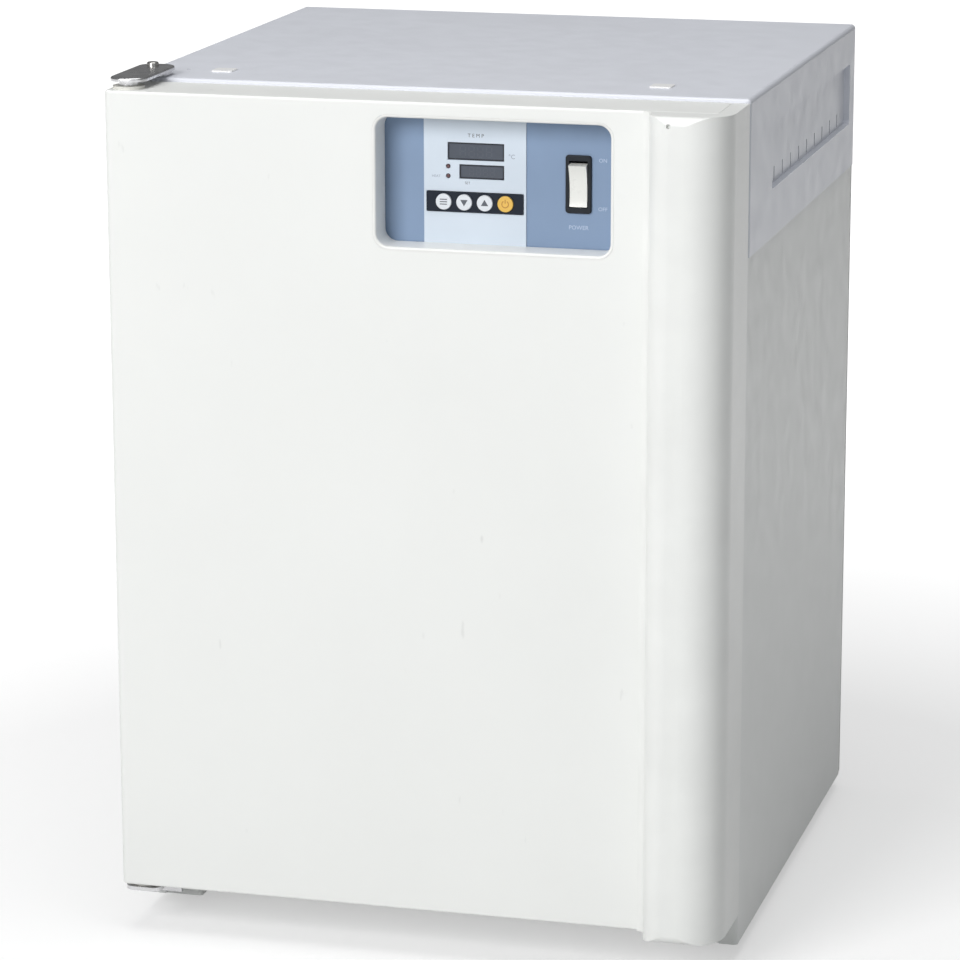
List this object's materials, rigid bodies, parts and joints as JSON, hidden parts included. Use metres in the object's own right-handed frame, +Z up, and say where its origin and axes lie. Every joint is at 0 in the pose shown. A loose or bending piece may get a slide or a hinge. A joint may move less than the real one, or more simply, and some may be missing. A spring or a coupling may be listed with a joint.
{
  "type": "laboratory incubator",
  "caption": "Bench cabinet with a left-hung front door, a window in it over a control panel, a full-height edge pull, and a shelved chamber behind an inner glass door.",
  "frame": {"origin": "middle of the footprint, on the surface that the feet stand on", "axes": "+X to the right of someone who faces the door, +Y to the back, +Z up"},
  "size_m": [0.4, 0.448, 0.5619],
  "materials": {
    "case_white": "semi-gloss powder coat",
    "cover_grey": "semi-gloss powder coat",
    "door_white": "semi-gloss powder coat",
    "frame_white": "semi-gloss powder coat",
    "pull_white": "satin moulded",
    "bezel_white": "satin moulded",
    "plug_white": "satin",
    "stainless": "brushed stainless steel",
    "wire_steel": "bright wire",
    "hinge_chrome": "polished",
    "screw_steel": "bright zinc",
    "galvanised": "matt galvanised sheet",
    "insulation": "glass wool",
    "seal_grey": "soft silicone",
    "feet_black": "matt rubber",
    "nylon": "nylon",
    "glass_clear": "clear toughened glass",
    "knob_black": "satin moulded",
    "magnet_dark": "sintered",
    "fascia_blue_grey": "fine-textured moulded",
    "overlay_pale": "printed film",
    "display_dark": "tinted lens",
    "band_dark": "satin",
    "lamp_red": "clear lens",
    "key_white": "satin",
    "key_orange": "satin",
    "switch_black": "satin",
    "rocker_white": "gloss",
    "board_green": "solder resist",
    "transformer_dark": "varnished laminations",
    "heater_dark": "oxidised sheath",
    "stopper_white": "soft silicone"
  },
  "bodies": {
    "cabinet": {"base_pan": "case_white", "board_spacers": "nylon", "bottom_hinge": "hinge_chrome", "bottom_hinge_screws": "screw_steel", "cabinet_insulation": "insulation", "cable_port": "nylon", "chamber_liner": "stainless", "chamber_seal": "seal_grey", "control_board": "board_green", "control_fascia": "fascia_blue_grey", "control_probe": "stainless", "cover_plugs": "plug_white", "display_lower": "display_dark", "display_upper": "display_dark", "feet": "feet_black", "floor_plate": "stainless", "foot_screws": "screw_steel", "front_frame": "frame_white", "glass_magnet": "magnet_dark", "heater": "heater_dark", "heater_saddles": "stainless", "indicator_lamps": "lamp_red", "instrument_tray": "galvanised", "key_band": "band_dark", "limit_probe": "stainless", "mains_inlet": "switch_black", "panel_overlay": "overlay_pale", "power_board": "board_green", "rear_panel": "case_white", "rear_screws": "screw_steel", "shelf_clips": "stainless", "shelf_lower": "wire_steel", "shelf_posts": "stainless", "shelf_upper": "wire_steel", "side_panel_left": "case_white", "side_panel_right": "case_white", "switch_body": "switch_black", "top_cover": "cover_grey", "top_hinge": "hinge_chrome", "top_hinge_screw": "screw_steel", "transformer": "transformer_dark"},
    "outer_door": {"door_skin": "door_white", "window_bezel": "bezel_white", "door_liner": "stainless", "door_insulation": "insulation", "door_seal": "seal_grey", "door_pull": "pull_white", "pull_caps": "pull_white", "hinge_bushes": "nylon"},
    "glass_door": {"inner_glass": "glass_clear", "glass_pivots": "stainless", "glass_knob": "knob_black", "glass_strike": "stainless"},
    "menu_key": {"key_menu": "key_white"},
    "down_key": {"key_down": "key_white"},
    "up_key": {"key_up": "key_white"},
    "run_key": {"key_run": "key_orange"},
    "mains_rocker": {"rocker": "rocker_white"},
    "stopper": {"port_stopper": "stopper_white"}
  },
  "joints": [
    {"name": "door_hinge", "type": "hinge", "parent": "cabinet", "child": "outer_door", "pos_m": [-0.188, -0.188, 0.292], "axis": [0, 0, -1], "range_deg": [0, 110]},
    {"name": "glass_hinge", "type": "hinge", "parent": "cabinet", "child": "glass_door", "pos_m": [-0.158, -0.1415, 0.238], "axis": [0, 0, -1], "range_deg": [0, 82.5]},
    {"name": "menu_key_travel", "type": "slide", "parent": "cabinet", "child": "menu_key", "axis": [0, 1, 0], "range_m": [0, 0.0008], "stiffness_N_per_m": 300, "springref_m": -0.0004},
    {"name": "down_key_travel", "type": "slide", "parent": "cabinet", "child": "down_key", "axis": [0, 1, 0], "range_m": [0, 0.0008], "stiffness_N_per_m": 300, "springref_m": -0.0004},
    {"name": "up_key_travel", "type": "slide", "parent": "cabinet", "child": "up_key", "axis": [0, 1, 0], "range_m": [0, 0.0008], "stiffness_N_per_m": 300, "springref_m": -0.0004},
    {"name": "run_key_travel", "type": "slide", "parent": "cabinet", "child": "run_key", "axis": [0, 1, 0], "range_m": [0, 0.0008], "stiffness_N_per_m": 300, "springref_m": -0.0004},
    {"name": "rocker_tilt", "type": "hinge", "parent": "cabinet", "child": "mains_rocker", "pos_m": [0.099, -0.176, 0.502], "axis": [-1, 0, 0], "range_deg": [0, 14]},
    {"name": "stopper_pull", "type": "slide", "parent": "cabinet", "child": "stopper", "axis": [0, 1, 0], "range_m": [0, 0.04]}
  ],
  "couplings": [
    {"joint": "glass_hinge", "follows": "door_hinge", "ratio": 0.75}
  ]
}
